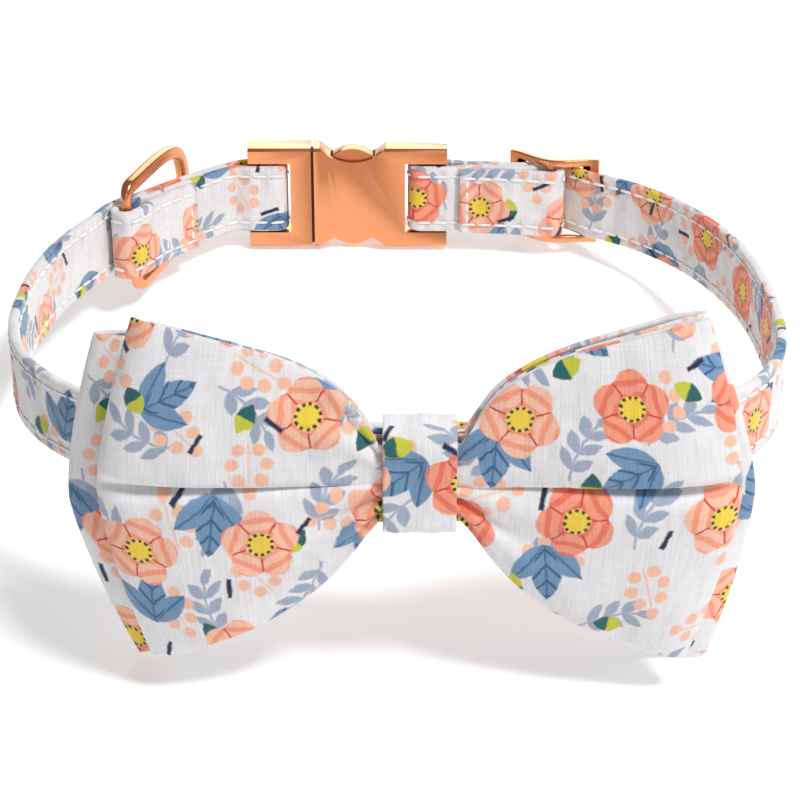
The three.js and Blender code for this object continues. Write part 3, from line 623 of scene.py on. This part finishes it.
def makeStitches():
    marks = np.arange(stitchRows["first"], strapRun[-1] - stitchRows["first"], stitchRows["pitch"])
    place, ahead, left = (
        np.stack([np.interp(marks, strapRun, values[:, k]) for k in range(2)], 1)
        for values in (strapPath, strapAlong, strapLeft))
    ahead, left, level = unit(ahead), unit(left), np.zeros(len(marks))
    centres, alongs, outs = [], [], []
    for face in (-1, 1):
        for up in (-rowUp, rowUp):
            flat = place + face * left * (strap["thick"] / 2 - stitch["sunk"])
            centres.append(np.column_stack([flat, level + up]))
            alongs.append(np.column_stack([ahead, level]))
            outs.append(np.column_stack([face * left, level]))
    centre, ahead, outward = map(np.concatenate, (centres, alongs, outs))
    upright = np.broadcast_to([0.0, 0.0, 1.0], centre.shape)
    stitchPiece("edge_stitching", centre, ahead, upright, outward, stitch["long"])
    # rows across the strap where a layer is sewn down, on the side that faces the neck
    rows = [("rightTail", 1, slider["at"] - slider["tail"] + stitch["fromTail"]),
            ("leftTail", -1, ring["at"] - ring["tail"] + stitch["fromTail"]),
            ("leftTail", -1, ring["at"] - stitch["besideRing"])]
    heights = np.arange(-rowUp + stitch["crossFirst"], rowUp - 1, stitch["crossPitch"])
    centres, aheads, outs = [], [], []
    for name, neckSide, at in rows:
        spot, forward, out = onNeck(neckSide * at, readTable(layers[name], np.array(at)))
        spot = spot - out * (strap["thick"] / 2 - stitch["crossSunk"])
        centres.append(np.column_stack([np.tile(spot, (len(heights), 1)), heights]))
        aheads.append(np.tile([*forward, 0.0], (len(heights), 1)))
        outs.append(np.tile([*-out, 0.0], (len(heights), 1)))
    centre, ahead, outward = map(np.concatenate, (centres, aheads, outs))
    upright = np.broadcast_to([0.0, 0.0, 1.0], centre.shape)
    stitchPiece("cross_stitching", centre, upright, ahead, outward, stitch["crossLong"])


makeStrap()
makeStitches()
print("strap and stitching made, neck length", round(float(neckLength), 1))


# Metal: each node's piece and the width of its rounded edges in mm
metal = {
    "pieces": {"buckle_female": ("female_half", 0.6), "buckle_male": ("male_half", 0.6),
               "slider": ("slide_bar", 0.3)},
    "merge": 2e-6, "joinAngle": np.radians(0.6), "edgeAngle": np.radians(28),
}


def metalCopy(node, name, width):
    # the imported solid, merged, its flat faces joined, and its edges rounded
    piece = addPiece(name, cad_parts[node].data.copy())
    cleanMesh(piece, metal["merge"], metal["joinAngle"], turnOut=False)
    piece.data.shade_smooth()
    addModifier(piece, "BEVEL", width=width * mm, segments=3, limit_method="ANGLE",
                angle_limit=metal["edgeAngle"], use_clamp_overlap=True, harden_normals=True)
    dress(piece, roseGold, stands=[node])


for node, (name, width) in metal["pieces"].items():
    metalCopy(node, name, width)


def makeRing():
    # One closed loop: a round bar through the strap's fold, quarter-circle bends, and a flatter
    # band along a superellipse arc. share runs from 0 on the bar to 1 on the band.
    turn, reach = ring["bend"], ring["halfHeight"] - ring["bend"]
    arcPoints, bendPoints, roundPoints = 97, 9, 20
    angle = np.linspace(0, np.pi, arcPoints)
    arc = np.stack([ring["depth"] * power(np.abs(np.sin(angle)), 2 / ring["square"]),
                    ring["halfHeight"] * power(np.cos(angle), 2 / ring["square"])], 1)
    arc = arc[arc[:, 0] > 1.1 * turn]  # it takes over just past the bends
    bend = np.linspace(0, np.pi / 2, bendPoints)
    corner = np.stack([turn * (1 - np.cos(bend)), reach + turn * np.sin(bend)], 1)
    onBar = np.zeros(bendPoints)
    bar = np.stack([onBar, np.linspace(-reach, reach, bendPoints + 2)[1:-1]], 1)
    path = np.concatenate([bar, corner, arc, corner[::-1] * [1, -1]])
    eased = bend / bend[-1]
    share = np.concatenate([onBar, smooth(eased), np.ones(len(arc)), smooth(1 - eased)])
    path = np.stack([path[:, 0], 0 * share, path[:, 1]], 1)
    along = unit(np.roll(path, -1, 0) - np.roll(path, 1, 0))
    inPlane = np.cross([0, 1, 0], along)
    # the section goes from a circle to a rounded rectangle, as the power of its sine and cosine
    # falls from 1 to a half
    around = 2 * np.pi * np.arange(roundPoints) / roundPoints
    a, b = (power(trig(around)[None], 1 - 0.5 * share[:, None]) for trig in (np.cos, np.sin))
    thick = ring["bar"] + share * (ring["thick"] / 2 - ring["bar"])
    wide = ring["bar"] + share * (ring["wide"] / 2 - ring["bar"])
    points = (path[:, None] + inPlane[:, None] * (a * thick[:, None])[..., None]
              + np.array([0, 1, 0]) * (b * wide[:, None])[..., None])

    def aboutZ(t):
        return np.array([[np.cos(t), -np.sin(t), 0], [np.sin(t), np.cos(t), 0], [0, 0, 1]])

    place, forward, _ = onNeck(-ring["at"], ringOut)
    heading, tilt = np.arctan2(forward[1], forward[0]), -np.radians(ring["tilt"])
    aboutY = np.array([[np.cos(tilt), 0, np.sin(tilt)], [0, 1, 0],
                       [-np.sin(tilt), 0, np.cos(tilt)]])
    turned = aboutZ(heading) @ aboutY @ aboutZ(np.radians(ring["lean"]))
    placed = points @ turned.T + np.array([*place, 0])
    uv = np.zeros((placed.shape[0] + 1, placed.shape[1] + 1, 2))
    piece = gridPiece("leash_ring", placed, uv, closeColumns=True, closeRows=True)
    cleanMesh(piece)
    dress(piece, roseGold, body="ring", stands=["d_ring"])


seam = {"low": (-19.2, 71.9, -10.6), "high": (-18.2, 75.2, 10.6)}


def makeSeam():
    # a core across the gap between the buckle's halves, which lets no light through; its near-black
    # colour is painted shade in the seam
    low, high = seam["low"], seam["high"]
    corners = np.array([[[low[0], y, high[2]], [low[0], y, low[2]],
                         [high[0], y, low[2]], [high[0], y, high[2]]] for y in (low[1], high[1])])
    piece = gridPiece("buckle_core_painted_shade", corners, np.zeros((2, 5, 2)), closeRows=True, caps=True)
    cleanMesh(piece)
    piece.data.shade_flat()
    dress(piece, seamShade)


makeSeam()
makeRing()
print("metal made")

# Bows, knot and elastic
cloth = {
    "x": 4.2, "thick": 1.0, "wall": 0.85, "gap": 0.4, "room": 0.75, "halfHeight": 31,
    "corner": 0.14, "cornerCurve": 1.4, "edgeFall": 0.75, "bulgePeak": 0.636,
    "gather": 0.4, "gatherReach": 0.3, "pleat": 0.5, "dents": 0.16,
    "creaseAt": 0.07, "creaseWave": 0.01, "creaseOver": 0.05, "creaseUnder": 0.055,
    "lipAt": 0.075, "lipWide": 0.06, "columns": 60, "rows": 110,
}
frontBow = {"reach": 52.5, "frontPuff": 3.2, "backPuff": 1.2, "drop": 0, "sweep": 0,
            "crease": 1.3, "pinchCrease": 0.75, "aside": 0, "across": 0, "rise": 0, "lip": 2.0,
            "tuck": 0, "backTuck": 0.9, "sag": 0}
rearBow = {"reach": 57.5, "frontPuff": 2.4, "backPuff": 1.2, "drop": 5, "sweep": 5,
           "crease": 0.2, "pinchCrease": 0, "aside": 1.3, "across": 2, "rise": 2, "lip": 0,
           "tuck": 0.3, "backTuck": 0, "sag": 1.3}
wing = np.array([  # reach, top and bottom as shares of the wing
    (0.13, 0.0, 0.0), (0.17, 0.17, 0.10), (0.22, 0.36, 0.25), (0.31, 0.54, 0.46),
    (0.43, 0.69, 0.65), (0.56, 0.79, 0.80), (0.70, 0.87, 0.90), (0.87, 0.96, 1.00),
    (1.00, 1.00, 1.04)])
knot = {"halfWidth": 6, "halfHeight": 9.5, "lift": 2, "thick": 1.0, "wall": 0.85, "corner": 2.2,
        "barrel": 0.02, "creases": 0.012}
elastic = {"halfWidth": 4, "thick": 0.7, "wall": 0.65, "corner": 0.9, "barrel": 0, "creases": 0}

# From the strap's face outwards: the elastic, the knot's back, the rear bow, the front bow, the
# knot's front, each with some room
strapFace = loop["front"] + strap["thick"] / 2
knotBack = strapFace + strap["fit"] + elastic["thick"] + strap["fit"]
bowDeep = cloth["thick"] + cloth["gap"] / 2 + cloth["gather"]
rearBow["y"] = -(knotBack + knot["thick"] + cloth["room"] + bowDeep)
frontBow["y"] = rearBow["y"] - 2 * bowDeep - cloth["room"]
knotFront = -frontBow["y"] + bowDeep + cloth["room"] + knot["thick"]
pinchHalf = knot["halfHeight"] - knot["thick"] - 2 * cloth["room"]


def bowHeight(share, v, side, isFront, over, bow):
    # The height goes from the pinch to the wing's outline with its spread, less the drop, lips,
    # tucks and sag that lower parts of it.
    reach = np.maximum(share, wing[0, 0])
    spread = np.where(v > 0, readCurve(wing[:, 0], wing[:, 1], reach),
                      readCurve(wing[:, 0], wing[:, 2], reach))
    pinch = v * pinchHalf + knot["lift"]
    z = pinch + spread * (v * cloth["halfHeight"] - pinch) - bow["drop"] * spread * share
    z = z + bow["rise"] * side * share * (1 + v) / 2
    middle = np.sin(np.pi * share)
    z = z - bow["sag"] * middle * (side > 0)  # the right wing hangs lower in its middle
    # the cloth over the crease droops in a lip, and the bow's top is tucked down
    lip = np.exp(-(((over - cloth["lipAt"]) / cloth["lipWide"]) ** 2)) * smooth(share / 0.2)
    z = z - np.where(isFront, bow["lip"] * lip * (1 - share ** 4), 0)
    tuck = np.where(isFront, 0, bow["backTuck"]) + bow["tuck"] * middle
    return z - tuck * np.maximum(v, 0) ** 3


def bowDepth(share, v, isFront, over, bow):
    # Half the thickness of the two layers, plus a bulge that rises from the knot and falls to the
    # fold, less a crease that falls in steeply from above and comes out slowly below.
    layer = (cloth["thick"] + cloth["gap"]) / 2 * np.sqrt(np.clip(1 - share ** 8, 0, 1))
    fold = np.exp(-((over / np.where(over > 0, cloth["creaseOver"], cloth["creaseUnder"])) ** 2))
    bulge = share ** 0.9 * np.sqrt(np.clip(1 - share ** 4, 0, 1)) / cloth["bulgePeak"]
    edgeFall = cloth["edgeFall"] * np.abs(v) ** 4
    ridge = 1 - bow["crease"] * fold * (1 - 0.5 * share ** 3) - edgeFall
    puff = np.where(isFront, bow["frontPuff"] * ridge, bow["backPuff"] * (1 - edgeFall))
    nearPinch = fold * smooth(share / 0.12) * (1 - share) ** 0.5
    return layer + puff * bulge - np.where(isFront, bow["pinchCrease"] * nearPinch, 0), bulge


def bowMiddle(u, v, bow):
    # One loop of cloth, flattened: each quarter of u runs out to a fold or back to the pinch, with
    # a sine. v runs from the bottom edge to the top edge.
    quarter = np.minimum(np.floor(u * 4), 3)
    within = u * 4 - quarter
    leaving = (quarter == 0) | (quarter == 2)
    side = np.where(quarter < 2, 1, -1)
    isFront = (quarter == 0) | (quarter == 3)
    share = np.sin(np.where(leaving, within, 1 - within) * np.pi / 2)
    x = side * bow["reach"] * share * (
        1 - cloth["corner"] * share ** 2 * np.abs(v) ** cloth["cornerCurve"])
    x = x - (bow["aside"] + bow["across"] * v) * smooth(share)
    over = v - (cloth["creaseAt"] + cloth["creaseWave"] * np.sin(5 * share))  # above the crease
    z = bowHeight(share, v, side, isFront, over, bow)
    depth, bulge = bowDepth(share, v, isFront, over, bow)
    gather = np.cos(5 * np.pi * v) * np.exp(-((share / cloth["gatherReach"]) ** 2))
    # pleats fan out from the knot, and soft dents cross the wing
    fan = cloth["pleat"] * np.sin(12 * v * (1.1 - 0.5 * share) + 0.8 * side) * (1 - v ** 6)
    fan = fan * smooth(share / 0.16) * smooth((0.75 - share) / 0.6)
    dents = cloth["dents"] * np.sin(0.21 * x + 0.13 * z + side) * np.sin(0.17 * z - 0.09 * x)
    dents = dents * smooth(share / 0.3) * bulge
    y = bow["y"] + bow["sweep"] * smooth(share / 0.9) + np.where(isFront, -depth, depth)
    y = y + cloth["gather"] * gather + np.where(isFront, fan + dents, -fan)
    flat = np.select([quarter == 0, quarter == 1, quarter == 2],
                     [share, 2 - share, 2 + share], 4 - share)
    return np.stack([cloth["x"] + x, y, z], 2), np.stack([bow["reach"] * flat, z], 2)


def makeBow(name, node, bow):
    columns = 4 * cloth["columns"]
    u, v = np.meshgrid(np.arange(columns + 1) / columns, np.linspace(-1, 1, cloth["rows"] + 1),
                       indexing="ij")
    points, uv = bowMiddle(u, v, bow)
    piece = gridPiece(name, points[:-1], uv + bow["reach"] * 0.7, closeColumns=True)
    addModifier(piece, "SOLIDIFY", thickness=cloth["wall"] * mm, offset=0)
    dress(piece, bowCotton, stands=[node])
    4 * bow["reach"] * mm


def bandPiece(name, node, band, centre, halfDeep, halfHeight, material):
    # A flat band round something upright: a rectangle with quarter-circle corners, carried along x.
    # Odd eighths of u run straight from one corner to the next, even ones turn round a corner. It
    # is barrel-shaped, with faint creases that fade to its edges. Gives back the way round it.
    columns, rows = 160, 32
    u, v = np.meshgrid(np.arange(columns + 1) / columns, np.linspace(-1, 1, rows + 1),
                       indexing="ij")
    eighth = np.minimum(np.floor(u * 8), 7)
    within, k, straight = u * 8 - eighth, (eighth // 2).astype(int), eighth % 2
    angle = (k + np.where(straight, 1, within)) * np.pi / 2
    corner, (x, y, z) = band["corner"], centre
    centres = np.array([(1, 1), (-1, 1), (-1, -1), (1, -1)])
    centres = centres * [halfDeep - corner, halfHeight - corner]
    shift = (within * straight)[..., None]
    middle = centres[k] * (1 - shift) + centres[(k + 1) % 4] * shift
    creases = band["creases"] * np.sin(7 * v + 1.2 * np.sin(2 * np.pi * u)) * (1 - v ** 4)
    swell = 1 - band["barrel"] * v * v + creases
    points = np.stack([
        x + v * band["halfWidth"], y + (middle[..., 0] + corner * np.cos(angle)) * swell,
        z + (middle[..., 1] + corner * np.sin(angle)) * swell], 2)
    girth = runAlong(points[:, rows // 2])
    uv = np.stack([points[..., 0] + 31, np.broadcast_to(girth[:, None], u.shape) + 12], 2)
    piece = gridPiece(name, points[:-1], uv, closeColumns=True)
    addModifier(piece, "SOLIDIFY", thickness=band["wall"] * mm, offset=0)
    dress(piece, material, stands=[node])
    return piece, float(girth[-1])


makeBow("rear_bow_cloth", "rear_bow", rearBow)
makeBow("front_bow_cloth", "front_bow", frontBow)
knotPiece, knotRound = bandPiece(
    "knot_cloth", "knot_band", knot, (cloth["x"], -(knotBack + knotFront) / 2, knot["lift"]),
    (knotFront - knotBack - knot["thick"]) / 2, knot["halfHeight"] - knot["thick"] / 2,
    bowCotton)
# the elastic is 8 mm wide
aroundStrap = strap["fit"] + elastic["thick"] / 2
bandPiece("elastic_band", "bow_loop", elastic, (cloth["x"], -loop["front"], 0),
          strap["thick"] / 2 + aroundStrap, strap["height"] / 2 + aroundStrap,
          whiteElastic)
print("bows, knot and elastic made")

# Floor, light and camera
studio = {
    "floor": (0.96, 0.96, 0.96, 1), "floorGlow": 0.34, "floorHalf": 3, "world": 0.24,
    "lights": {  # place in metres, size and watts
        "key": ((0.32, -0.16, 0.74), 0.2, 5.2),
        "fill": ((0.15, -0.9, 0.4), 0.5, 0.9),
        "behind": ((0.1, 1.1, 0.3), 0.9, 5.0),
    },
    "lightsAim": (0, 0, 0.03),
    # in collar millimetres: the way back to the camera, how far, and the point it looks at
    "back": np.array([0.0036, -0.8934, 0.4493]), "distance": 404.5,
    "aim": np.array([0.74, 0, -13.7]), "sensor": 36,
    "lens": 2104 * 36 / 800,  # 2104 pixels to the sensor's 800
}


def makeFloor():
    far = studio["floorHalf"]
    mesh = bpy.data.meshes.new("floor")
    mesh.from_pydata([(-far, -far, 0), (far, -far, 0), (far, far, 0), (-far, far, 0)], [],
                     [(0, 1, 2, 3)])
    floor = addPiece("floor", mesh)
    material, tree = newMaterial("pale floor")
    finishMaterial(tree, {
        "Base Color": studio["floor"], "Roughness": 0.9, "Emission Color": studio["floor"],
        "Emission Strength": studio["floorGlow"]})
    mesh.materials.append(material)


def makeLight(name, place, size, watts):
    light = bpy.data.lights.new(name, "AREA")
    light.shape, light.size, light.energy = "DISK", size, watts
    lamp = addPiece(name, light)
    lamp.location = place
    lamp.rotation_mode = "QUATERNION"
    ahead = Vector(studio["lightsAim"]) - Vector(place)
    lamp.rotation_quaternion = ahead.to_track_quat("-Z", "Y")


def makeCamera():
    back = unit(studio["back"])
    right = unit(np.cross([0, 0, 1], back))
    axes = np.stack([right, np.cross(back, right), back], 1)
    camera = addPiece("camera", bpy.data.cameras.new("camera"))
    camera.data.sensor_width, camera.data.lens = studio["sensor"], studio["lens"]
    camera.data.clip_start = 0.01
    placed = Matrix((turnLean @ axes).tolist()).to_4x4()
    placed.translation = Vector(toFrame(back * studio["distance"] + studio["aim"]))
    camera.matrix_world = placed
    bpy.context.scene.camera = camera


makeFloor()
world = bpy.data.worlds.new("studio")
world.use_nodes = True
skyInputs = world.node_tree.nodes["Background"].inputs
skyInputs[0].default_value = (1, 1, 1, 1)
skyInputs[1].default_value = studio["world"]
bpy.context.scene.world = world
for name, (place, size, watts) in studio["lights"].items():
    makeLight(name, place, size, watts)
bpy.context.scene.view_settings.view_transform = "Standard"
makeCamera()
print("floor, light and camera set")
